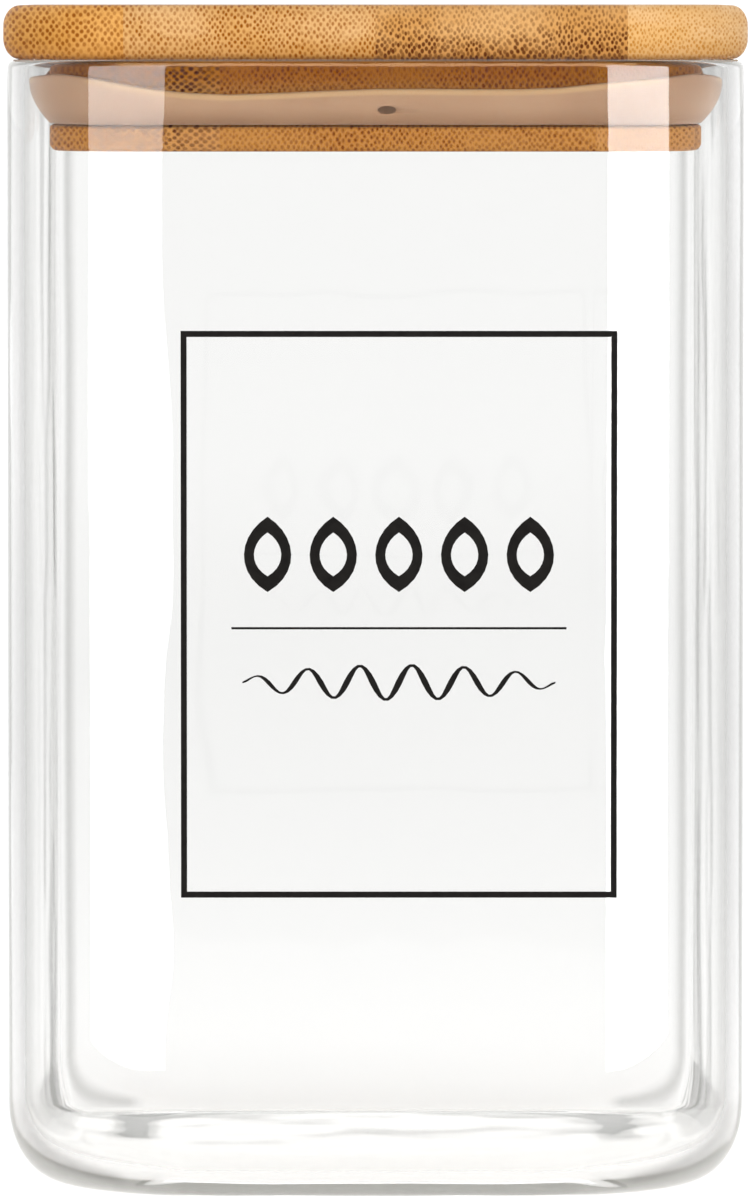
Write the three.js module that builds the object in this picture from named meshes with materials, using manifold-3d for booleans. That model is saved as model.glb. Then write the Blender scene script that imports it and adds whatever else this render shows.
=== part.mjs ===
// Square glass storage canister with a laminated bamboo lid and a silicone seal.
// Millimetres, +Z up.  The origin is the centre of the underside, where the canister stands.
// The printed face looks along -Y, and the grain of the lid runs along Y.

import * as THREE from 'three';
import { mergeVertices } from 'three/addons/utils/BufferGeometryUtils.js';
import Module from 'manifold-3d';

const wasm = await Module();
wasm.setup();

// ---------------------------------------------------------------- driving dimensions

// Jar: a square borosilicate tumbler with a rounded heel and a pushed-up underside.
const JAR_SIDE = 98.6;            // outside, across the flats
const JAR_CORNER = 18.0;          // outside corner radius in plan
const FOOT_CORNER = 23.0;         // the same at the foot, where the jar is rounder
const JAR_HEIGHT = 151.5;         // foot to rim
const WALL = 2.2;                 // side wall thickness
const FLOOR = 3.2;                // glass under the contents
const HEEL_IN = 8.5;              // how far the heel curves in under the jar
const HEEL_UP = 12.0;             // how high the heel curve starts
const INNER_HEEL_IN = 6.5;        // the same curve inside
const INNER_HEEL_UP = 9.5;
const FOOT_WIDTH = 3.0;           // flat ring that the jar stands on
const PUSH_UP = 0.9;              // height of the hollow inside that ring

// Lid: a board over the rim and a smaller plug board under it.
const LID_SIDE = 99.6;
const LID_CORNER = 18.5;
const LID_THICKNESS = 7.2;
const LID_ROUND_IN = 2.2;         // elliptical rounding of the upper and lower edges
const LID_ROUND_UP = 2.8;
const STRIP_PITCH = 100 / 6;      // width of one bamboo strip
const GLUE_LINE = 0.1;            // gap that stands for the glue between strips and between boards

const PLUG_SIDE = 87.2;
const PLUG_CORNER = 12.3;
const PLUG_DEPTH = 12.2;          // below the underside of the lid board
const PLUG_ROUND = 1.0;
const PLUG_STRIP_SHIFT = -4.0;    // the plug board's strips are out of step with the lid board's
const GROOVE_TOP = 5.3;           // groove for the seal, measured down from the lid board
const GROOVE_BOTTOM = 9.0;
const GROOVE_DEPTH = 3.5;

// Seal: a silicone ring, foot in the groove, lip curving up and out to the glass.
const LIP_TOP = 3.0;              // lip edge, measured down from the lid board
const LIP_OUT = 3.2;              // lip reach beyond the plug
const LIP_THICKNESS = 0.8;
const VENT_WIDTH = 2.5;           // small oval vent through the front of the lip
const VENT_HEIGHT = 1.1;
const VENT_X = 1.5;
const VENT_DOWN = 6.7;            // measured down from the lid board

// Print: fired-on black enamel on the front face.
const PRINT_X = 3.1;              // the print sits a little right of the middle
const PRINT_Z = 78.4;
const PRINT_THICKNESS = 0.15;
const PRINT_GAP = 0.05;           // keeps the print clear of the glass solid
const FRAME_WIDTH = 57.8;
const FRAME_HEIGHT = 75.2;
const FRAME_LINE = 0.8;
const GRAIN_COUNT = 5;            // row of pointed grains in the middle of the frame
const GRAIN_WIDTH = 6.6;
const GRAIN_HEIGHT = 10.0;
const GRAIN_LINE = 1.4;           // each grain is an outline around its crease
const GRAIN_PITCH = 8.7;
const GRAIN_Z = 86.4;
const RULE_WIDTH = 44.4;
const RULE_LINE = 0.3;
const RULE_Z = 76.6;
const WAVE_WIDTH = 41.5;          // fine calligraphic wave under the rule
const WAVE_HEIGHT = 4.6;
const WAVE_COUNT = 6;
const WAVE_LINE = 0.85;
const WAVE_Z = 69.4;

const CLEARANCE = 0.3;            // between pieces that touch on the real object

// ---------------------------------------------------------------- derived dimensions

const JAR_HALF = JAR_SIDE / 2;
const INNER_HALF = JAR_HALF - WALL;
const INNER_CORNER = JAR_CORNER - WALL;
const FLOOR_CORNER = FOOT_CORNER - WALL;
const RIM_RADIUS = WALL / 2;      // fire-polished rim, a full round over the wall
const LID_UNDERSIDE = JAR_HEIGHT + CLEARANCE;
const PLUG_HALF = PLUG_SIDE / 2;
const FRONT = -JAR_HALF;

// ---------------------------------------------------------------- materials

const finish = (color, roughness) => new THREE.MeshStandardMaterial({ color, roughness, metalness: 0 });

const GLASS = finish(0xe9eff0, 0.05);
const BAMBOO = finish(0xdda35f, 0.55);
const SILICONE = finish(0xc9a58a, 0.6);
const ENAMEL = finish(0x101010, 0.4);

// ---------------------------------------------------------------- shape helpers

const CORNER_STEPS = 9;           // facets in each quarter-round corner of a ring
const ARC_STEPS = 7;              // facets in each quarter-round of a profile

// Corner points of a rounded square, anticlockwise, at the given height.
function squareRing({ half, corner, z }) {
  const points = [];
  for (let quarter = 0; quarter < 4; quarter += 1) {
    const signX = quarter === 0 || quarter === 3 ? 1 : -1;
    const signY = quarter < 2 ? 1 : -1;
    for (let step = 0; step <= CORNER_STEPS; step += 1) {
      const angle = (Math.PI / 2) * (quarter + step / CORNER_STEPS);
      points.push([
        signX * (half - corner) + corner * Math.cos(angle),
        signY * (half - corner) + corner * Math.sin(angle),
        z,
      ]);
    }
  }
  return points;
}

// Quarter ellipse as [in, up] pairs, from the end where it is upright to the end where it is level.
function quarterRound(reach, rise, steps = ARC_STEPS) {
  const pairs = [];
  for (let step = 0; step <= steps; step += 1) {
    const angle = (Math.PI / 2) * (step / steps);
    pairs.push([reach * (1 - Math.cos(angle)), rise * (1 - Math.sin(angle))]);
  }
  return pairs;
}

// Closed solid through a run of rounded-square rings.  An open run is capped at both ends, and a
// closed run joins its last ring to its first, as a ring-shaped piece does.
function loft(sections, closed = false) {
  const rings = sections.map(squareRing);
  const count = rings[0].length;
  const positions = rings.flat(2);
  const faces = [];
  const spans = closed ? rings.length : rings.length - 1;
  for (let i = 0; i < spans; i += 1) {
    const low = i * count;
    const high = ((i + 1) % rings.length) * count;
    for (let k = 0; k < count; k += 1) {
      const next = (k + 1) % count;
      faces.push(low + k, low + next, high + next, low + k, high + next, high + k);
    }
  }
  if (!closed) {
    const last = (rings.length - 1) * count;
    for (let k = 1; k < count - 1; k += 1) {
      faces.push(0, k + 1, k);
      faces.push(last, last + k, last + k + 1);
    }
  }
  const geometry = new THREE.BufferGeometry();
  geometry.setAttribute('position', new THREE.Float32BufferAttribute(positions, 3));
  geometry.setIndex(faces);
  return geometry;
}

function toSolid(geometry) {
  const bare = geometry.clone();
  bare.deleteAttribute('normal');
  bare.deleteAttribute('uv');
  const merged = mergeVertices(bare, 1e-4);
  return new wasm.Manifold(new wasm.Mesh({
    numProp: 3,
    vertProperties: new Float32Array(merged.attributes.position.array),
    triVerts: new Uint32Array(merged.index.array),
  }));
}

function toGeometry(solid) {
  const mesh = solid.getMesh();
  const geometry = new THREE.BufferGeometry();
  geometry.setAttribute('position', new THREE.BufferAttribute(new Float32Array(mesh.vertProperties), 3));
  geometry.setIndex(new THREE.BufferAttribute(new Uint32Array(mesh.triVerts), 1));
  return geometry;
}

const canister = new THREE.Group();

function addPiece(name, geometry, material) {
  geometry.computeVertexNormals();
  const mesh = new THREE.Mesh(geometry, material);
  mesh.name = name;
  canister.add(mesh);
  return mesh;
}

// ---------------------------------------------------------------- jar

// Rings from the middle of the underside, out over the foot, up the outside, over the rim and
// down the inside to the middle of the floor.
function glassJar() {
  const footOuter = JAR_HALF - HEEL_IN;
  const footInner = footOuter - FOOT_WIDTH;
  const underside = [
    { half: footInner - 4 * PUSH_UP, corner: FOOT_CORNER - 3, z: PUSH_UP },
    { half: footInner - PUSH_UP, corner: FOOT_CORNER - 1, z: PUSH_UP / 3 },
    { half: footInner, corner: FOOT_CORNER - 1, z: 0 },
  ];
  const heel = quarterRound(HEEL_IN, HEEL_UP).reverse().map(([inward, up]) => ({
    half: JAR_HALF - inward,
    corner: JAR_CORNER + (FOOT_CORNER - JAR_CORNER) * (inward / HEEL_IN),
    z: up,
  }));
  const rim = quarterRound(RIM_RADIUS, RIM_RADIUS, 4);
  const rimOut = rim.map(([inward, up]) => (
    { half: JAR_HALF - inward, corner: JAR_CORNER - inward, z: JAR_HEIGHT - up }
  ));
  const rimIn = rim.slice(0, -1).reverse().map(([inward, up]) => (
    { half: INNER_HALF + inward, corner: INNER_CORNER + inward, z: JAR_HEIGHT - up }
  ));
  const innerHeel = quarterRound(INNER_HEEL_IN, INNER_HEEL_UP).map(([inward, up]) => ({
    half: INNER_HALF - inward,
    corner: INNER_CORNER + (FLOOR_CORNER - INNER_CORNER) * (inward / INNER_HEEL_IN),
    z: FLOOR + up,
  }));
  return loft([...underside, ...heel, ...rimOut, ...rimIn, ...innerHeel]);
}

// ---------------------------------------------------------------- lid

function lidBoard() {
  const round = quarterRound(LID_ROUND_IN, LID_ROUND_UP, 5);
  const edge = ([inward, z]) => ({ half: LID_SIDE / 2 - inward, corner: LID_CORNER - inward, z });
  const lower = round.map(([inward, up]) => edge([inward, LID_UNDERSIDE + up])).reverse();
  const upper = round.map(([inward, up]) => edge([inward, LID_UNDERSIDE + LID_THICKNESS - up]));
  return loft([...lower, ...upper]);
}

function plugBoard() {
  const bottom = LID_UNDERSIDE - PLUG_DEPTH;
  const edge = quarterRound(PLUG_ROUND, PLUG_ROUND, 3).reverse().map(([inward, up]) => (
    { half: PLUG_HALF - inward, corner: PLUG_CORNER - inward, z: bottom + up }
  ));
  const groove = { half: PLUG_HALF - GROOVE_DEPTH, corner: PLUG_CORNER - GROOVE_DEPTH };
  const side = { half: PLUG_HALF, corner: PLUG_CORNER };
  return loft([
    ...edge,
    { ...side, z: LID_UNDERSIDE - GROOVE_BOTTOM },
    { ...groove, z: LID_UNDERSIDE - GROOVE_BOTTOM },
    { ...groove, z: LID_UNDERSIDE - GROOVE_TOP },
    { ...side, z: LID_UNDERSIDE - GROOVE_TOP },
    { ...side, z: LID_UNDERSIDE - GLUE_LINE },
  ]);
}

// Cuts a board into glued strips that run front to back.
function addStrips(name, board, half, shift) {
  const solid = toSolid(board);
  const edges = [-LID_SIDE];
  for (let joint = shift - 3 * STRIP_PITCH; joint < half - 1; joint += STRIP_PITCH) {
    if (joint > 1 - half) edges.push(joint);
  }
  edges.push(LID_SIDE);
  for (let i = 1; i < edges.length; i += 1) {
    const low = edges[i - 1] + GLUE_LINE / 2;
    const high = edges[i] - GLUE_LINE / 2;
    const slab = new THREE.BoxGeometry(high - low, 2 * LID_SIDE, 4 * JAR_HEIGHT);
    slab.translate((low + high) / 2, 0, 0);
    addPiece(`${name}_${i}`, toGeometry(solid.intersect(toSolid(slab))), BAMBOO);
  }
}

// ---------------------------------------------------------------- seal

// Section of the ring, going round it once: under the foot, up the outside of the lip to its
// edge, down the inside of the lip, up the face of the foot and over its top.
function sealRing() {
  const section = (out, down) => (
    { half: PLUG_HALF + out, corner: PLUG_CORNER + out, z: LID_UNDERSIDE - down }
  );
  const footBack = CLEARANCE - GROOVE_DEPTH;
  const footTop = GROOVE_TOP + CLEARANCE;
  const footBottom = GROOVE_BOTTOM - CLEARANCE;
  const lip = (reach, bottom) => quarterRound(reach, bottom - LIP_TOP).map(([inward, up]) => (
    section(reach - inward, bottom - up)
  ));
  const ring = loft([
    section(footBack, footBottom),
    ...lip(LIP_OUT, footBottom).reverse(),
    ...lip(LIP_OUT - LIP_THICKNESS, footBottom - LIP_THICKNESS),
    section(0, footTop),
    section(footBack, footTop),
  ], true);
  const vent = new THREE.CylinderGeometry(1, 1, LIP_OUT, 24);
  vent.scale(VENT_WIDTH / 2, 1, VENT_HEIGHT / 2);
  vent.translate(VENT_X, -PLUG_HALF - 0.7 * LIP_OUT, LID_UNDERSIDE - VENT_DOWN);
  return toGeometry(toSolid(ring).subtract(toSolid(vent)));
}

// ---------------------------------------------------------------- print

// Stands a flat outline up on the front face, with its own origin at (x, z) on the glass.
function addPrint(name, shape, x, z) {
  const geometry = new THREE.ExtrudeGeometry(shape, {
    depth: PRINT_THICKNESS,
    bevelEnabled: false,
    curveSegments: 10,
  });
  geometry.rotateX(Math.PI / 2);
  const mesh = addPiece(name, geometry, ENAMEL);
  mesh.position.set(x, FRONT - PRINT_GAP, z);
}

function rectangle(target, width, height) {
  target.moveTo(-width / 2, -height / 2);
  target.lineTo(width / 2, -height / 2);
  target.lineTo(width / 2, height / 2);
  target.lineTo(-width / 2, height / 2);
  target.closePath();
  return target;
}

function frameShape() {
  const shape = rectangle(new THREE.Shape(), FRAME_WIDTH, FRAME_HEIGHT);
  const inside = rectangle(new THREE.Path(), FRAME_WIDTH - 2 * FRAME_LINE, FRAME_HEIGHT - 2 * FRAME_LINE);
  shape.holes.push(inside);
  return shape;
}

// Pointed oval, standing upright, its widest point a little below the middle.
function pointedOval(target, width, height) {
  const bulge = (2 / 3) * width;
  const low = -height / 2;
  const high = height / 2;
  target.moveTo(0, low);
  target.bezierCurveTo(bulge, low / 2, 0.9 * bulge, high / 2, 0, high);
  target.bezierCurveTo(-0.9 * bulge, high / 2, -bulge, low / 2, 0, low);
  return target;
}

function grainShape() {
  const shape = pointedOval(new THREE.Shape(), GRAIN_WIDTH, GRAIN_HEIGHT);
  const creaseHeight = GRAIN_HEIGHT - 3 * GRAIN_LINE;
  shape.holes.push(pointedOval(new THREE.Path(), GRAIN_WIDTH - 2 * GRAIN_LINE, creaseHeight));
  return shape;
}

// A sine wave drawn with a broad pen: thick on the slopes, thin at the turns and at both ends.
function waveShape() {
  const steps = WAVE_COUNT * 14;
  const upper = [];
  const lower = [];
  for (let step = 0; step <= steps; step += 1) {
    const along = step / steps;
    const phase = 2 * Math.PI * WAVE_COUNT * along;
    const swell = Math.sin(Math.PI * along) ** 0.5;
    const x = (along - 0.5) * WAVE_WIDTH;
    const y = (WAVE_HEIGHT / 2) * swell * Math.sin(phase);
    const half = (WAVE_LINE / 2) * (0.45 + 0.55 * Math.cos(phase) ** 2) * (0.25 + 0.75 * swell);
    const slope = Math.atan2(WAVE_HEIGHT * Math.PI * WAVE_COUNT * swell * Math.cos(phase), WAVE_WIDTH);
    upper.push([x - half * Math.sin(slope), y + half * Math.cos(slope)]);
    lower.unshift([x + half * Math.sin(slope), y - half * Math.cos(slope)]);
  }
  return new THREE.Shape([...upper, ...lower].map(([x, y]) => new THREE.Vector2(x, y)));
}

// ---------------------------------------------------------------- assembly

addPiece('glass_jar', glassJar(), GLASS);
addStrips('lid_strip', lidBoard(), LID_SIDE / 2, 0);
addStrips('plug_strip', plugBoard(), PLUG_HALF, PLUG_STRIP_SHIFT);
addPiece('seal_ring', sealRing(), SILICONE);
addPrint('print_frame', frameShape(), PRINT_X, PRINT_Z);
for (let i = 0; i < GRAIN_COUNT; i += 1) {
  const x = PRINT_X + (i - (GRAIN_COUNT - 1) / 2) * GRAIN_PITCH;
  addPrint(`print_grain_${i + 1}`, grainShape(), x, GRAIN_Z);
}
addPrint('print_rule', rectangle(new THREE.Shape(), RULE_WIDTH, RULE_LINE), PRINT_X, RULE_Z);
addPrint('print_wave', waveShape(), PRINT_X, WAVE_Z);

export default canister;
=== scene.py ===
import math

import bmesh
import bpy
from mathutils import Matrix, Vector


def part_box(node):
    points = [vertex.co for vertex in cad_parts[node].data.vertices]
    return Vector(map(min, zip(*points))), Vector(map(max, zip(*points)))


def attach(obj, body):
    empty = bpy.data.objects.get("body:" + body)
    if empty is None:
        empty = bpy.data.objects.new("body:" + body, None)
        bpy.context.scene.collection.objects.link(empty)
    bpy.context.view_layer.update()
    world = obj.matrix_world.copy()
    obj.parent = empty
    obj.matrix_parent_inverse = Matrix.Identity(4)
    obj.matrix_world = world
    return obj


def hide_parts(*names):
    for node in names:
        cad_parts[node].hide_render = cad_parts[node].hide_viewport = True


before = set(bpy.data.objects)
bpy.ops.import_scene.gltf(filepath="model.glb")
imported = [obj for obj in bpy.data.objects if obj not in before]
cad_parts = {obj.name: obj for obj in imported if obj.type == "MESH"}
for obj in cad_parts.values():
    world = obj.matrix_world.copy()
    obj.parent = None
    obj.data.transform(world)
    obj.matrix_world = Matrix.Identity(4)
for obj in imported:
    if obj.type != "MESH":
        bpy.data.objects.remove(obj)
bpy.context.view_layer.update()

MM = 0.001

# ---------------------------------------------------------------- sizes from the frame

JAR_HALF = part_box("glass_jar")[1].x
LID_STRIPS = [f"lid_strip_{i}" for i in range(1, 7)]
PLUG_STRIPS = [f"plug_strip_{i}" for i in range(1, 7)]
PRINTS = [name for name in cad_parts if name.startswith("print_")]
LID_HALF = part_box(LID_STRIPS[-1])[1].x
LID_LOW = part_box(LID_STRIPS[0])[0].z
LID_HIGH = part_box(LID_STRIPS[0])[1].z
RIM_GAP = 0.03 * MM
RIM_Z = LID_LOW - RIM_GAP  # the lid rests on the rim
PLUG_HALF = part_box(PLUG_STRIPS[2])[1].y
PLUG_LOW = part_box(PLUG_STRIPS[0])[0].z
PLUG_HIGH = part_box(PLUG_STRIPS[0])[1].z
SEAL_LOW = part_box("seal_ring")[0].z
SEAL_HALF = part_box("seal_ring")[1].x

# The same shape sizes as the CAD model's, in metres, except where a line says otherwise.
JAR_CORNER = 18.0 * MM
CORNER_START = JAR_HALF - JAR_CORNER
FOOT_CORNER = 23.0 * MM
WALL = 2.2 * MM
FLOOR = 3.2 * MM
HEEL_IN, HEEL_UP = 8.5 * MM, 12.0 * MM
INNER_HEEL_IN, INNER_HEEL_UP = 6.5 * MM, 9.5 * MM
FOOT_WIDTH = 3.0 * MM
PUSH_UP = 0.9 * MM
LID_CORNER = 18.5 * MM
LID_ROUND_IN, LID_ROUND_UP = 2.2 * MM, 2.8 * MM
PLUG_CORNER = 12.3 * MM
PLUG_ROUND = 1.0 * MM
GROOVE_TOP, GROOVE_BOTTOM, GROOVE_DEPTH = 5.3 * MM, 9.0 * MM, 3.5 * MM
CLEARANCE = 0.3 * MM
LIP_SHORTER = 0.4 * MM  # the lip reaches this much less far than the CAD's
LIP_OUT = SEAL_HALF - PLUG_HALF - LIP_SHORTER
LIP_THICKNESS = 0.8 * MM
LIT_EDGE_REACH = 0.6 * MM  # how far below its edge the painted highlight on the lip reaches
VENT_WIDTH, VENT_HEIGHT = 2.5 * MM, 1.1 * MM
VENT_X, VENT_DOWN = 1.5 * MM, 6.7 * MM
VENT_BACK = 0.4 * MM  # how far in front of the plug the vent's hole ends

CORNER_STEPS = 22
FLAT_STEPS = 14
HEEL_STEPS = 22
WALL_STEPS = 12
DOME_STEPS = 10
VENT_STEPS = 32


# ---------------------------------------------------------------- mesh helpers

def square_ring(half, corner, z):
    """Points of a rounded square, anticlockwise, with the flats divided as well as the corners."""
    points = []
    for quarter in range(4):
        sign_x = 1 if quarter in (0, 3) else -1
        sign_y = 1 if quarter < 2 else -1
        for step in range(CORNER_STEPS + 1):
            angle = math.pi / 2 * (quarter + step / CORNER_STEPS)
            points.append(Vector((
                sign_x * (half - corner) + corner * math.cos(angle),
                sign_y * (half - corner) + corner * math.sin(angle),
                z,
            )))
        end = points[-1]
        angle = math.pi / 2 * (quarter + 1)
        along = Vector((-math.sin(angle), math.cos(angle), 0))
        for step in range(1, FLAT_STEPS):
            share = 0.5 - 0.5 * math.cos(math.pi * step / FLAT_STEPS)
            points.append(end + along * (2 * (half - corner) * share))
    return points


def quarter_round(reach, rise, steps):
    """Quarter ellipse as (in, up) pairs, from its upright end to its level end."""
    pairs = []
    for step in range(steps + 1):
        angle = math.pi / 2 * step / steps
        pairs.append((reach * (1 - math.cos(angle)), rise * (1 - math.sin(angle))))
    return pairs


def loft(rings, closed=False):
    """Closed bmesh through a run of rings, capped at both ends unless the run closes on itself."""
    bm = bmesh.new()
    rows = [[bm.verts.new(point) for point in ring] for ring in rings]
    count = len(rows[0])
    spans = len(rows) if closed else len(rows) - 1
    for i in range(spans):
        low, high = rows[i], rows[(i + 1) % len(rows)]
        for k in range(count):
            n = (k + 1) % count
            bm.faces.new((low[k], low[n], high[n], high[k]))
    if not closed:
        bm.faces.new(list(reversed(rows[0])))
        bm.faces.new(rows[-1])
    return bm


def to_object(bm, name, material, sharp_degrees=40):
    bmesh.ops.recalc_face_normals(bm, faces=bm.faces)
    mesh = bpy.data.meshes.new(name)
    bm.to_mesh(mesh)
    bm.free()
    mesh.polygons.foreach_set("use_smooth", [True] * len(mesh.polygons))
    mesh.set_sharp_from_angle(angle=math.radians(sharp_degrees))
    mesh.materials.append(material)
    obj = bpy.data.objects.new(name, mesh)
    bpy.context.scene.collection.objects.link(obj)
    return obj


def stand_in(obj, node, body):
    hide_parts(node)
    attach(obj, body)


# ---------------------------------------------------------------- material helpers

class Nodes:
    """Short-hand for building one material's node tree."""

    def __init__(self, material):
        self.tree = material.node_tree
        self.tree.nodes.clear()

    def add(self, kind, inputs=None, **settings):
        node = self.tree.nodes.new(kind)
        for key, value in settings.items():
            setattr(node, key, value)
        for key, value in (inputs or {}).items():
            self.put(node.inputs[key], value)
        return node

    def put(self, socket, value):
        if isinstance(value, bpy.types.NodeSocket):
            self.tree.links.new(value, socket)
        elif socket.type == "RGBA":
            socket.default_value = (*value[:3], 1)
        else:
            socket.default_value = value

    def math(self, operation, a, b=0.0, c=0.0, clamp=False):
        node = self.add("ShaderNodeMath", {0: a, 1: b, 2: c}, operation=operation, use_clamp=clamp)
        return node.outputs[0]

    def ramp(self, value, low, high, out_low=0.0, out_high=1.0):
        """Smooth step of value from low to high."""
        node = self.add(
            "ShaderNodeMapRange",
            {"Value": value, "From Min": low, "From Max": high, "To Min": out_low, "To Max": out_high},
            interpolation_type="SMOOTHSTEP",
        )
        return node.outputs["Result"]

    def mix(self, factor, a, b, blend="MIX"):
        node = self.add("ShaderNodeMix", data_type="RGBA", blend_type=blend, clamp_factor=True)
        self.put(node.inputs[0], factor)
        self.put(node.inputs[6], a)
        self.put(node.inputs[7], b)
        return node.outputs[2]

    def millimetres(self, shift=(0, 0, 0)):
        """Place on the piece, in millimetres, as three separate numbers."""
        place = self.add("ShaderNodeTexCoord").outputs["Object"]
        scaled = self.add("ShaderNodeVectorMath", {0: place, "Scale": 1000.0}, operation="SCALE")
        moved = self.add("ShaderNodeVectorMath", {0: scaled.outputs[0], 1: shift}, operation="ADD")
        return self.add("ShaderNodeSeparateXYZ", {0: moved.outputs[0]}).outputs

    def vector(self, x, y, z):
        return self.add("ShaderNodeCombineXYZ", {0: x, 1: y, 2: z}).outputs[0]

    def noise(self, vector, scale=1.0, detail=2.0, roughness=0.5):
        node = self.add(
            "ShaderNodeTexNoise",
            {"Vector": vector, "Scale": scale, "Detail": detail, "Roughness": roughness},
        )
        return node.outputs["Fac"]

    def bump(self, height, distance, strength=1.0):
        node = self.add("ShaderNodeBump", {"Height": height, "Distance": distance, "Strength": strength})
        return node.outputs[0]

    def finish(self, shader):
        self.add("ShaderNodeOutputMaterial", {"Surface": shader})


def new_material(name):
    material = bpy.data.materials.new(name)
    material.use_nodes = True
    return material, Nodes(material)


# ---------------------------------------------------------------- materials

GLASS_CLEAR = (0.93, 0.93, 0.925)
# painted shade: the grey that the upright corners take where they are seen aslant
GLASS_EDGE_SHADE = (0.46, 0.46, 0.45)
TRAPPED_DEPTH = 7.5  # a ray that has met more surfaces than this is trapped in the walls


def glass_material():
    """Clear borosilicate glass with the faint waviness of a blown wall.

    The upright corners have painted shade: they turn greyer where they are seen aslant. Light passes
    straight through to what it lights, and a ray trapped in the walls passes straight on, dimmed.
    """
    material, n = new_material("clear_glass")
    x, y, z = n.millimetres()
    facing = n.add("ShaderNodeLayerWeight", {"Blend": 0.5}).outputs["Facing"]
    aslant = n.math("MULTIPLY", n.ramp(facing, 0.34, 0.53), n.ramp(facing, 0.74, 0.53))
    inset = n.math("MINIMUM", n.math("ABSOLUTE", x), n.math("ABSOLUTE", y))
    corner = n.ramp(inset, CORNER_START / MM + 0.7, CORNER_START / MM + 4.2)
    # painted shade: the upright corners turn grey where they are seen aslant
    tint = n.mix(n.math("MULTIPLY", aslant, corner), GLASS_CLEAR, GLASS_EDGE_SHADE)
    sway = n.noise(n.vector(x, y, n.math("MULTIPLY", z, 0.45)), scale=0.05, detail=1.0)
    shader = n.add(
        "ShaderNodeBsdfPrincipled",
        {
            "Base Color": tint,
            "Roughness": 0.0,
            "IOR": 1.47,
            "Transmission Weight": 1.0,
            "Specular Tint": (0.35, 0.35, 0.35),
            "Normal": n.bump(sway, 0.0005, 0.35),
        },
    )
    clear = n.add("ShaderNodeBsdfTransparent", {"Color": (0.975, 0.975, 0.970)})
    dim = n.add("ShaderNodeBsdfTransparent", {"Color": (0.44, 0.44, 0.42)})
    path = n.add("ShaderNodeLightPath")
    passing = n.math("MAXIMUM", path.outputs["Is Shadow Ray"], path.outputs["Is Diffuse Ray"])
    trapped = n.math("GREATER_THAN", path.outputs["Ray Depth"], TRAPPED_DEPTH)
    seen = n.add("ShaderNodeMixShader", {0: trapped, 1: shader.outputs[0], 2: dim.outputs[0]})
    both = n.add("ShaderNodeMixShader", {0: passing, 1: seen.outputs[0], 2: clear.outputs[0]})
    n.finish(both.outputs[0])
    return material


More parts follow.
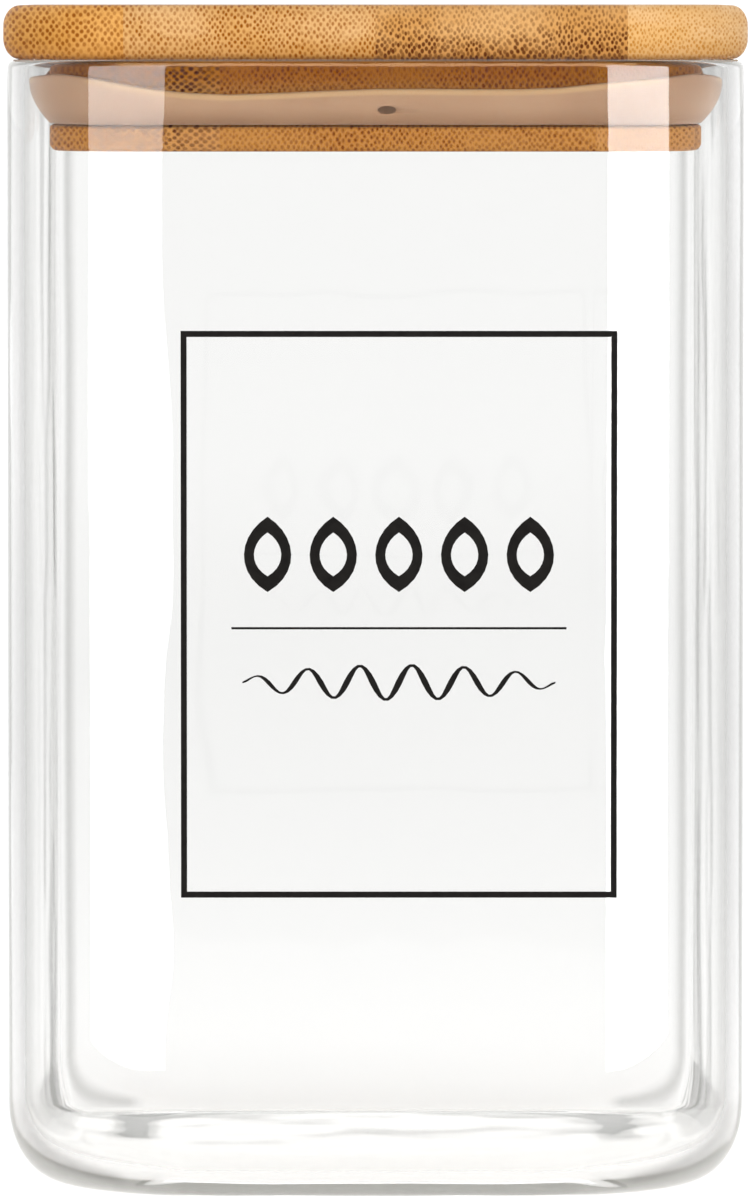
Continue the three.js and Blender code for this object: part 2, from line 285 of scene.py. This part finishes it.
def bamboo_material(name, seed, pitch, row, dot, pale, tan, deep, knuckle, sinking=0.0):
    """Bamboo strip whose fibres run along Y: dots where it is cut across, streaks along its length.

    The fibre bundles stand in staggered rows: pitch is their spacing along a row and row that between
    rows, both in millimetres. dot is their radius as a share of those, and sinking makes them larger
    and darker towards the bottom of the board. pale and tan are the ground's colours and deep the
    dots'. knuckle is where along the strip a node of the cane crosses it, in millimetres.
    """
    material, n = new_material(name)
    board_x, board_y, z = n.millimetres()
    x = n.math("ADD", board_x, seed * 13.7)
    y = n.math("ADD", board_y, seed * 31.1)
    wander_place = n.vector(n.math("MULTIPLY", x, 0.08), n.math("MULTIPLY", y, 0.022), seed)
    wander = n.noise(wander_place, 1.0, 2.0)
    swell_place = n.vector(n.math("MULTIPLY", x, 0.11), n.math("MULTIPLY", z, 0.12), seed + 5.0)
    swell = n.noise(swell_place, 1.0, 1.0)
    height = n.math("SUBTRACT", z, (LID_LOW + LID_HIGH) / 2 / MM)

    along = n.math("DIVIDE", n.math("MULTIPLY_ADD", wander, 3.0, x), pitch)
    rise = n.math("DIVIDE", n.math("MULTIPLY_ADD", swell, 1.6, z), 2 * row)
    lattice = n.vector(n.math("ADD", rise, along), n.math("SUBTRACT", rise, along), 0.0)
    cells = n.add(
        "ShaderNodeTexVoronoi",
        {"Vector": lattice, "Scale": 1.0, "Randomness": 0.55 if sinking else 0.38},
        voronoi_dimensions="2D",
        feature="F1",
    )
    reach = n.math("MULTIPLY_ADD", height, -0.02 * sinking, dot)
    edge = n.math("SUBTRACT", cells.outputs["Distance"], reach)
    pick = n.add("ShaderNodeSeparateColor", {0: cells.outputs["Color"]}).outputs[0]
    bundle = n.ramp(edge, 0.15, -0.17)
    spots = n.math("MULTIPLY", bundle, n.ramp(pick, 0.0, 0.8, 0.60, 1.0))
    spots = n.math("MULTIPLY", spots, n.ramp(height, 3.0, -2.0, 1.0 - 0.35 * sinking, 1.0))

    fine_place = n.vector(
        n.math("MULTIPLY", x, 3.4), n.math("MULTIPLY", y, 0.10), n.math("MULTIPLY", z, 3.4)
    )
    fine = n.noise(fine_place, 1.0, 3.0, 0.6)
    patch_place = n.vector(
        n.math("MULTIPLY", board_x, 0.09), n.math("MULTIPLY", board_y, 0.03), n.math("MULTIPLY", z, 0.16)
    )
    patch = n.noise(patch_place, 1.0, 2.0)
    spots = n.math("MULTIPLY", spots, n.ramp(patch, 0.30, 0.62, 0.55, 1.0))

    bow = n.noise(n.vector(n.math("MULTIPLY", x, 0.14), 0.0, seed), 1.0, 1.0)
    band = n.math("SUBTRACT", n.math("MULTIPLY_ADD", bow, 2.4, board_y), knuckle + 1.2)
    away = n.math("ABSOLUTE", band)
    knot = n.ramp(away, 1.0, 0.15)
    halo = n.ramp(away, 4.5, 0.6)

    wood = n.mix(n.ramp(patch, 0.32, 0.68), pale, tan)
    # painted shade: the lid board darkens towards its lower half, and the plug below takes the full
    # darkening
    wood = n.mix(n.ramp(height, -0.2, -3.2, 0.0, 0.60), wood, shade_of(tan, 0.78, 0.68, 0.50))
    wood = n.mix(n.ramp(fine, 0.35, 0.75, 0.0, 0.35), wood, shade_of(tan, 0.72, 0.60, 0.45))
    wood = n.mix(n.math("MULTIPLY", halo, 0.30), wood, shade_of(tan, 0.72, 0.66, 0.60))
    wood = n.mix(spots, wood, deep)
    wood = n.mix(n.math("MULTIPLY", knot, 0.42), wood, shade_of(tan, 0.36, 0.26, 0.18))
    # painted shadow: a dark line along the lid board's lower edge where it meets the glass rim; the plug
    # below is darkened the same way all over
    wood = n.mix(n.ramp(height, -2.7, -3.5, 0.0, 0.75), wood, (0.42, 0.30, 0.14), "MULTIPLY")
    # painted shade on the plug's band just under the lid board
    shade_under_lid = n.math("MULTIPLY", n.ramp(height, -9.0, -5.5), n.ramp(height, -3.4, -3.8))
    wood = n.mix(shade_under_lid, wood, (0.72, 0.52, 0.05), "MULTIPLY")

    relief = n.math("SUBTRACT", n.math("MULTIPLY", fine, 0.55), n.math("MULTIPLY", spots, 0.45))
    relief = n.math("SUBTRACT", relief, n.math("MULTIPLY", knot, 0.5))
    shader = n.add(
        "ShaderNodeBsdfPrincipled",
        {
            "Base Color": wood,
            "Roughness": n.ramp(fine, 0.25, 0.75, 0.42, 0.60),
            "Specular IOR Level": 0.05,
            "Normal": n.bump(relief, 0.00010, 0.8),
        },
    )
    n.finish(shader.outputs[0])
    return material


def shade_of(colour, red, green, blue):
    """A darker version of a colour, with the share of each channel that is kept."""
    return (colour[0] * red, colour[1] * green, colour[2] * blue, 1)


def silicone_material():
    """Soft translucent silicone, slightly cloudy, with a painted highlight along its thin edge and
    painted shade towards its foot.
    """
    material, n = new_material("seal_silicone")
    x, y, z = n.millimetres()
    cloud = n.noise(n.vector(x, y, z), 0.06, 2.0)
    grain = n.noise(n.vector(x, y, z), 2.2, 2.0)
    thin = n.add("ShaderNodeAttribute", attribute_name="thin").outputs["Fac"]
    # painted shade: the seal gets darker towards its bottom, where it meets the plug
    foot = n.ramp(z, SEAL_LOW / MM + 2.6, SEAL_LOW / MM, 0.0, 0.75)
    colour = n.mix(n.ramp(cloud, 0.3, 0.7), (0.262, 0.154, 0.090), (0.303, 0.185, 0.111))
    colour = n.mix(foot, colour, (0.72, 0.62, 0.50), "MULTIPLY")
    # painted highlight along the lip's thin edge, where light would shine through
    colour = n.mix(n.ramp(thin, 0.05, 0.7, 0.0, 0.9), colour, (0.36, 0.230, 0.120))
    shader = n.add(
        "ShaderNodeBsdfPrincipled",
        {
            "Base Color": colour,
            "Roughness": n.ramp(grain, 0.3, 0.7, 0.40, 0.52),
            "Subsurface Weight": 0.35,
            "Subsurface Radius": (0.004, 0.0022, 0.0014),
            "Subsurface Scale": 0.5,
            "Specular IOR Level": 0.20,
            "Sheen Weight": 0.05,
            "Normal": n.bump(grain, 0.00003, 0.5),
        },
    )
    n.finish(shader.outputs[0])
    return material


def enamel_material():
    """Fired black enamel, a little uneven in gloss where the screen left it thin."""
    material, n = new_material("print_enamel")
    x, y, z = n.millimetres()
    mottle = n.noise(n.vector(x, y, z), 0.9, 3.0)
    shader = n.add(
        "ShaderNodeBsdfPrincipled",
        {
            "Base Color": n.mix(mottle, (0.004, 0.0035, 0.0035, 1), (0.012, 0.011, 0.010, 1)),
            "Roughness": n.ramp(mottle, 0.3, 0.7, 0.40, 0.60),
            "Specular IOR Level": 0.05,
            "Normal": n.bump(mottle, 0.00002, 0.5),
        },
    )
    n.finish(shader.outputs[0])
    return material


def floor_material():
    """Matt studio paper, almost white, and greyer close by, where the softboxes light it most."""
    material, n = new_material("studio_floor")
    x, y, z = n.millimetres()
    tooth = n.noise(n.vector(x, y, z), 0.5, 2.0)
    radius = n.math("SQRT", n.math("MULTIPLY_ADD", x, x, n.math("MULTIPLY", y, y)))
    near = n.mix(tooth, (0.81, 0.81, 0.81), (0.83, 0.83, 0.83))
    far = n.mix(tooth, (0.94, 0.94, 0.94), (0.96, 0.96, 0.96))
    shader = n.add(
        "ShaderNodeBsdfPrincipled",
        {
            "Base Color": n.mix(n.ramp(radius, 300.0, 2500.0), near, far),
            "Roughness": 0.9,
            "Specular IOR Level": 0.1,
            "Emission Color": (1.0, 1.0, 1.0),
            "Emission Strength": 0.07,
        },
    )
    n.finish(shader.outputs[0])
    return material


# ---------------------------------------------------------------- jar

def make_jar():
    """The blown jar: underside, foot, outside, rim, inside and floor in one closed skin."""
    foot_outer = JAR_HALF - HEEL_IN
    foot_inner = foot_outer - FOOT_WIDTH
    inner_half = JAR_HALF - WALL
    inner_corner = JAR_CORNER - WALL
    floor_corner = FOOT_CORNER - WALL
    rings = []

    for step in range(DOME_STEPS + 1):
        share = step / DOME_STEPS
        up = PUSH_UP * (1 - share) ** 2 * (1 + 2 * share)
        half = foot_inner - 9 * MM * (1 - share)
        rings.append(square_ring(half, FOOT_CORNER - 1 * MM - 3 * MM * (1 - share), up))
    rings.insert(0, square_ring(foot_inner - 12 * MM, FOOT_CORNER - 6 * MM, PUSH_UP))
    for inward, up in reversed(quarter_round(HEEL_IN, HEEL_UP, HEEL_STEPS)):
        corner = JAR_CORNER + (FOOT_CORNER - JAR_CORNER) * inward / HEEL_IN
        rings.append(square_ring(JAR_HALF - inward, corner, up))
    straight_top = RIM_Z - WALL / 2
    for step in range(1, WALL_STEPS):
        z = HEEL_UP + (straight_top - HEEL_UP) * step / WALL_STEPS
        rings.append(square_ring(JAR_HALF, JAR_CORNER, z))
    rim = quarter_round(WALL / 2, WALL / 2, 8)
    for inward, up in rim:
        rings.append(square_ring(JAR_HALF - inward, JAR_CORNER - inward, RIM_Z - up))
    for inward, up in reversed(rim[:-1]):
        rings.append(square_ring(inner_half + inward, inner_corner + inward, RIM_Z - up))
    for step in range(1, WALL_STEPS):
        z = straight_top - (straight_top - FLOOR - INNER_HEEL_UP) * step / WALL_STEPS
        rings.append(square_ring(inner_half, inner_corner, z))
    for inward, up in quarter_round(INNER_HEEL_IN, INNER_HEEL_UP, HEEL_STEPS):
        corner = inner_corner + (floor_corner - inner_corner) * inward / INNER_HEEL_IN
        rings.append(square_ring(inner_half - inward, corner, FLOOR + up))
    for inset in (4 * MM, 12 * MM):
        rings.append(square_ring(inner_half - INNER_HEEL_IN - inset, floor_corner - inset / 2, FLOOR))

    jar = to_object(loft(rings), "jar", glass_material(), 60)
    stand_in(jar, "glass_jar", "jar")
    return jar


# ---------------------------------------------------------------- lid

def board_edge(half, corner, reach, rise, low_z, high_z):
    """Rings of a board with rounded upper and lower edges."""
    flat = [(reach + 4 * MM, 0), (reach + 1 * MM, 0)]
    curve = quarter_round(reach, rise, 10)
    rings = [square_ring(half - i, corner - min(i, corner / 2), low_z) for i, _ in flat]
    rings += [square_ring(half - i, corner - i, low_z + up) for i, up in reversed(curve)]
    rings += [square_ring(half - i, corner - i, high_z - up) for i, up in curve]
    rings += [square_ring(half - i, corner - min(i, corner / 2), high_z) for i, _ in reversed(flat)]
    return rings


def plug_rings():
    top = LID_LOW
    groove = (PLUG_HALF - GROOVE_DEPTH, PLUG_CORNER - GROOVE_DEPTH)
    ease = 0.25 * MM
    rings = [
        square_ring(PLUG_HALF - 5 * MM, PLUG_CORNER - 5 * MM, PLUG_LOW),
        square_ring(PLUG_HALF - 2 * MM, PLUG_CORNER - 2 * MM, PLUG_LOW),
    ]
    for inward, up in reversed(quarter_round(PLUG_ROUND, PLUG_ROUND, 6)):
        rings.append(square_ring(PLUG_HALF - inward, PLUG_CORNER - inward, PLUG_LOW + up))
    rings += [
        square_ring(PLUG_HALF, PLUG_CORNER, top - GROOVE_BOTTOM - ease),
        square_ring(PLUG_HALF - ease, PLUG_CORNER - ease, top - GROOVE_BOTTOM),
        square_ring(*groove, top - GROOVE_BOTTOM),
        square_ring(*groove, top - GROOVE_TOP),
        square_ring(PLUG_HALF - ease, PLUG_CORNER - ease, top - GROOVE_TOP),
        square_ring(PLUG_HALF, PLUG_CORNER, top - GROOVE_TOP + ease),
        square_ring(PLUG_HALF, PLUG_CORNER, PLUG_HIGH),
        square_ring(PLUG_HALF - 2 * MM, PLUG_CORNER - 2 * MM, PLUG_HIGH),
    ]
    return rings


def cut_strip(rings, low_x, high_x):
    """The part of a board between two upright planes, closed again where it was cut."""
    bm = loft(rings)
    for x, side in ((low_x, -1), (high_x, 1)):
        every = list(bm.verts) + list(bm.edges) + list(bm.faces)
        cut = bmesh.ops.bisect_plane(
            bm, geom=every, dist=1e-7, plane_co=(x, 0, 0), plane_no=(side, 0, 0), clear_outer=True
        )
        edges = [e for e in cut["geom_cut"] if isinstance(e, bmesh.types.BMEdge)]
        if edges:
            bmesh.ops.edgeloop_fill(bm, edges=edges)
    return bm


def make_strips(nodes, rings, materials):
    """One mesh for each bamboo strip, each filled out to the middle of its glue lines."""
    boxes = [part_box(node) for node in nodes]
    joints = [(left[1].x + right[0].x) / 2 for left, right in zip(boxes, boxes[1:])]
    lows = [boxes[0][0].x - MM, *joints]
    highs = [*joints, boxes[-1][1].x + MM]
    for node, low_x, high_x, material in zip(nodes, lows, highs, materials):
        strip = to_object(cut_strip(rings, low_x, high_x), node.replace("strip", "lamella"), material)
        strip.visible_glossy = node not in PLUG_STRIPS  # or the side walls would mirror the plug
        stand_in(strip, node, "lid")


def make_lid():
    straw, amber, bark = (0.515, 0.270, 0.080), (0.425, 0.200, 0.042), (0.18, 0.048, 0.002)
    wheat, sand = (0.48, 0.290, 0.125), (0.42, 0.222, 0.068)
    honey, umber, soot = (0.46, 0.260, 0.100), (0.39, 0.190, 0.052), (0.065, 0.012, 0.001)
    cream, oat, fawn = (0.53, 0.345, 0.175), (0.48, 0.280, 0.105), (0.31, 0.127, 0.018)
    # Each board's name, seed, pitch, row, dot, three colours, knuckle and sinking.
    boards = [
        bamboo_material("bamboo_lid_1", 1, 0.92, 0.58, 0.36, straw, amber, bark, 22),
        bamboo_material("bamboo_lid_2", 2, 0.80, 0.53, 0.34, wheat, sand, bark, -31),
        bamboo_material("bamboo_lid_3", 3, 0.77, 0.52, 0.34, wheat, sand, bark, 12),
        bamboo_material("bamboo_lid_4", 4, 0.73, 0.52, 0.39, honey, umber, soot, -8, sinking=1.0),
        bamboo_material("bamboo_lid_5", 5, 0.75, 0.54, 0.38, honey, umber, soot, 35, sinking=1.0),
        bamboo_material("bamboo_lid_6", 6, 0.62, 0.46, 0.31, cream, oat, fawn, -20, sinking=0.6),
    ]
    rings = board_edge(LID_HALF, LID_CORNER, LID_ROUND_IN, LID_ROUND_UP, LID_LOW, LID_HIGH)
    make_strips(LID_STRIPS, rings, boards)
    glow, rust, char = (0.76, 0.465, 0.178), (0.655, 0.350, 0.102), (0.22, 0.060, 0.003)
    blush, ember = (0.76, 0.455, 0.26), (0.10, 0.020, 0.003)
    plugs = [
        bamboo_material("bamboo_plug_1", 11, 0.84, 0.56, 0.35, glow, rust, char, 5),
        bamboo_material("bamboo_plug_2", 12, 1.10, 0.44, 0.40, blush, glow, ember, -26),
        bamboo_material("bamboo_plug_3", 13, 0.82, 0.55, 0.35, glow, rust, char, 30),
        bamboo_material("bamboo_plug_4", 14, 0.80, 0.54, 0.34, glow, rust, char, -12),
        bamboo_material("bamboo_plug_5", 15, 0.84, 0.56, 0.36, glow, rust, char, 17),
        bamboo_material("bamboo_plug_6", 16, 0.76, 0.52, 0.30, blush, glow, char, -36),
    ]
    make_strips(PLUG_STRIPS, plug_rings(), plugs)


# ---------------------------------------------------------------- seal

# How far the lip's edge hangs below the lid board, in millimetres, at places along the front.
LIP_DROPS = (
    (-42.3, 2.3), (-38.2, 2.8), (-29.0, 4.4), (-20.0, 5.05), (-10.0, 4.7),
    (0.5, 4.3), (21.7, 4.3), (29.7, 3.6), (38.2, 2.8), (42.3, 2.3),
)


def through_points(table, x):
    """Smooth curve through a table's points, level at its two ends."""
    if x <= table[0][0]:
        return table[0][1]
    if x >= table[-1][0]:
        return table[-1][1]
    i = max(k for k in range(len(table) - 1) if table[k][0] <= x)
    slopes = []
    for k in (i, i + 1):
        low, high = table[max(k - 1, 0)], table[min(k + 1, len(table) - 1)]
        slopes.append((high[1] - low[1]) / (high[0] - low[0]))
    (x0, y0), (x1, y1) = table[i], table[i + 1]
    t = (x - x0) / (x1 - x0)
    return (
        y0 * (1 + 2 * t) * (1 - t) ** 2
        + y1 * t * t * (3 - 2 * t)
        + (x1 - x0) * (slopes[0] * t * (1 - t) ** 2 - slopes[1] * t * t * (1 - t))
    )


def lip_edge_drop(point):
    """How far below the lid board the lip's edge lies: high at the corners, sagging between them."""
    if abs(point.y) >= abs(point.x):
        along, share = (point.x, 1.0) if point.y < 0 else (-point.x, 0.7)
    else:
        along, share = (point.y, 0.8) if point.x > 0 else (-point.y, 0.9)
    rest = LIP_DROPS[0][1]
    return (rest + share * (through_points(LIP_DROPS, along / MM) - rest)) * MM


def make_seal():
    """Ring with its foot in the groove and a thin lip that curves up and out to the glass."""
    foot_back = CLEARANCE - GROOVE_DEPTH
    foot_top = LID_LOW - GROOVE_TOP - CLEARANCE
    foot_low = SEAL_LOW

    def section(out, z):
        return square_ring(PLUG_HALF + out, PLUG_CORNER + out, z)

    def lip(reach, low_z, steps=14):
        rings = []
        for step in range(steps + 1):
            down = step / steps
            ring = section(reach * (1 - down ** 2), low_z)
            for point in ring:
                point.z = low_z + (1 - down) * (LID_LOW - lip_edge_drop(point) - low_z)
            rings.append(ring)
        return rings

    def lip_edge():
        """Round-over from the outside of the lip to its inside."""
        rings = []
        for angle in (30, 60, 90, 120, 150):
            turn = math.radians(angle)
            ring = section(LIP_OUT - LIP_THICKNESS / 2 * (1 - math.cos(turn)), 0)
            for point in ring:
                point.z = LID_LOW - lip_edge_drop(point) + LIP_THICKNESS / 2 * math.sin(turn)
            rings.append(ring)
        return rings

    rings = [
        section(foot_back, foot_low),
        *reversed(lip(LIP_OUT, foot_low)),
        *lip_edge(),
        *lip(LIP_OUT - LIP_THICKNESS, foot_low + LIP_THICKNESS),
        section(0.0, foot_top),
        section(foot_back, foot_top),
    ]
    seal = to_object(loft(rings, closed=True), "seal", silicone_material(), 50)
    cut_vent(seal)
    mark_painted_edge_light(seal.data)
    seal.visible_glossy = False  # or the side walls would mirror it
    stand_in(seal, "seal_ring", "lid")


def mark_painted_edge_light(mesh):
    """Attribute for the lip's painted highlight: 1 along the lip's edge, falling to 0 a little way below
    it.
    """
    thin = mesh.attributes.new("thin", "FLOAT", "POINT")
    for vertex in mesh.vertices:
        below = LID_LOW - lip_edge_drop(vertex.co) - vertex.co.z
        at_lip = max(abs(vertex.co.x), abs(vertex.co.y)) > PLUG_HALF + LIP_OUT / 2
        thin.data[vertex.index].value = max(0.0, min(1.0, 1 - below / LIT_EDGE_REACH)) if at_lip else 0.0


def cut_vent(seal):
    """Oval hole through the front of the lip that lets air out as the lid goes down."""
    rings = []
    for y in (-(SEAL_HALF + 2 * MM), -(PLUG_HALF + VENT_BACK)):
        rings.append([
            Vector((
                VENT_X + VENT_WIDTH / 2 * math.cos(2 * math.pi * k / VENT_STEPS),
                y,
                LID_LOW - VENT_DOWN + VENT_HEIGHT / 2 * math.sin(2 * math.pi * k / VENT_STEPS),
            ))
            for k in range(VENT_STEPS)
        ])
    cutter = to_object(loft(rings), "vent_cutter", seal.data.materials[0])
    cut = seal.modifiers.new("vent", "BOOLEAN")
    cut.operation = "DIFFERENCE"
    cut.solver = "EXACT"
    cut.object = cutter
    bpy.context.view_layer.update()
    whole = bpy.data.meshes.new_from_object(seal.evaluated_get(bpy.context.evaluated_depsgraph_get()))
    seal.modifiers.clear()
    seal.data = whole
    bpy.data.objects.remove(cutter)


# ---------------------------------------------------------------- print

def paint_prints():
    enamel = enamel_material()
    for name in PRINTS:
        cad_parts[name].material_slots[0].material = enamel


# ---------------------------------------------------------------- studio

FLOOR_RADIUS = 400.0  # metres, so that it ends below the horizon and no edge shows
FLAG_Y = -0.45
FLAG_HALF_WIDTH = 0.06
FLAG_HEIGHT = 0.26
REFLECTOR_Y = -0.155


def make_floor():
    bm = bmesh.new()
    bmesh.ops.create_circle(bm, cap_ends=True, segments=96, radius=FLOOR_RADIUS)
    floor = to_object(bm, "studio_floor", floor_material())
    floor.location.z = -0.02 * MM


def flag_material():
    """Matt black card."""
    material, n = new_material("black_card")
    x, y, z = n.millimetres()
    colour = n.mix(n.noise(n.vector(x, y, z), 0.3), (0.02, 0.02, 0.02), (0.03, 0.03, 0.03))
    shader = n.add("ShaderNodeBsdfPrincipled", {"Base Color": colour, "Roughness": 0.9})
    n.finish(shader.outputs[0])
    return material


def make_flag():
    """Black card in front of the jar that keeps its flat front face from mirroring the studio."""
    bm = bmesh.new()
    outline = (
        (-FLAG_HALF_WIDTH, 0.0), (FLAG_HALF_WIDTH, 0.0),
        (FLAG_HALF_WIDTH, FLAG_HEIGHT), (-FLAG_HALF_WIDTH, FLAG_HEIGHT),
    )
    bm.faces.new([bm.verts.new((x, FLAG_Y, z)) for x, z in outline])
    flag = to_object(bm, "black_flag", flag_material())
    flag.visible_camera = False
    flag.visible_diffuse = False
    flag.visible_transmission = False
    flag.visible_shadow = False


def area_light(name, place, aim, width, height, radiance, mirrored_only=False):
    """Rectangular lamp: either one that lights matt surfaces, or one that is only seen mirrored."""
    data = bpy.data.lights.new(name, "AREA")
    data.shape = "RECTANGLE"
    data.size, data.size_y = width, height
    data.energy = radiance * math.pi * width * height
    light = bpy.data.objects.new(name, data)
    light.location = place
    light.rotation_mode = "QUATERNION"
    light.rotation_quaternion = (Vector(aim) - Vector(place)).to_track_quat("-Z", "Y")
    light.visible_camera = False
    light.visible_transmission = False
    light.visible_diffuse = not mirrored_only
    light.visible_glossy = mirrored_only
    bpy.context.scene.collection.objects.link(light)
    return light


def reflector(name, low_x, high_x, low_z, high_z, radiance, mirrors):
    """Upright light in front of the jar that is only seen mirrored in it, as a tall soft band."""
    x, z = (low_x + high_x) / 2, (low_z + high_z) / 2
    place = (x, REFLECTOR_Y, z)
    width, height = high_x - low_x, high_z - low_z
    light = area_light(name, place, (x, 0, z), width, height, radiance, mirrored_only=True)
    light.light_linking.receiver_collection = mirrors


def make_lights(jar):
    """Softboxes for the wood and the seal, and mirrored lamps that only the jar receives."""
    mirrors = bpy.data.collections.new("mirrors")
    mirrors.objects.link(jar)
    reflector("reflector_left", -0.142, -0.0300, 0.006, 0.24, 19.0, mirrors)
    reflector("reflector_left_upper", -0.147, -0.0315, 0.085, 0.24, 17.0, mirrors)
    reflector("reflector_right", 0.0336, 0.168, 0.006, 0.24, 36.0, mirrors)
    reflector("reflector_right_upper", 0.0345, 0.172, 0.075, 0.24, 28.0, mirrors)
    rim_place, rim_aim = (0, -0.34, 0.56), (0, -0.05, RIM_Z)
    rim = area_light("rim_light", rim_place, rim_aim, 0.36, 0.44, 16.0, mirrored_only=True)
    rim.data.color = (1.0, 0.66, 0.34)
    rim.light_linking.receiver_collection = mirrors
    area_light("softbox_top", (0.10, -0.20, 0.90), (0, 0, 0.15), 0.70, 0.70, 0.8)
    area_light("softbox_front_left", (-0.62, -0.95, 0.30), (0, 0, 0.10), 0.50, 0.50, 7.9)
    area_light("softbox_front_right", (0.62, -0.95, 0.32), (0, 0, 0.10), 0.50, 0.50, 9.9)


def make_world():
    """Palest behind the canister, with less light from both sides, so that the wood is modelled."""
    world = bpy.data.worlds.new("studio_world")
    bpy.context.scene.world = world
    world.use_nodes = True
    n = Nodes(world)
    towards = n.add("ShaderNodeTexCoord").outputs["Generated"]
    parts = n.add("ShaderNodeSeparateXYZ", {0: towards}).outputs
    behind = n.ramp(parts[1], -0.8, 0.9, 0.84, 1.42)
    aside = n.math("ABSOLUTE", parts[0])
    dimming = n.ramp(aside, 0.55, 0.95, 0.0, 0.45)
    diffuse = n.add("ShaderNodeLightPath").outputs["Is Diffuse Ray"]
    kept = n.math("SUBTRACT", 1.0, n.math("MULTIPLY", diffuse, dimming))
    strength = n.math("MULTIPLY", behind, kept)
    background = n.add("ShaderNodeBackground", {"Strength": strength})
    background.inputs["Color"].default_value = (1, 1, 1, 1)
    n.add("ShaderNodeOutputWorld", {"Surface": background.outputs[0]})


LENS = 329.0
SENSOR_WIDTH = 36.0
CAMERA_PLACE = (0.0, -1.5, 0.161)
AIM_X = 0.2 * MM
AIM_DOWN = 1.9 * MM  # how far below half the canister's height the camera aims


def make_camera():
    """Long lens, level with the lid and aimed at the middle of the canister."""
    data = bpy.data.cameras.new("camera")
    data.lens = LENS
    data.sensor_width = SENSOR_WIDTH
    data.clip_end = 1000.0
    camera = bpy.data.objects.new("camera", data)
    camera.location = CAMERA_PLACE
    aim = Vector((AIM_X, 0.0, LID_HIGH / 2 - AIM_DOWN))
    camera.rotation_mode = "QUATERNION"
    camera.rotation_quaternion = (aim - camera.location).to_track_quat("-Z", "Y")
    bpy.context.scene.collection.objects.link(camera)
    bpy.context.scene.camera = camera


def set_rendering():
    scene = bpy.context.scene
    scene.view_settings.view_transform = "Standard"
    scene.view_settings.look = "None"
    scene.cycles.max_bounces = 16
    scene.cycles.transmission_bounces = 14
    scene.cycles.transparent_max_bounces = 16
    scene.cycles.glossy_bounces = 8


jar = make_jar()
make_lid()
make_seal()
paint_prints()
make_floor()
make_flag()
make_lights(jar)
make_world()
make_camera()
set_rendering()
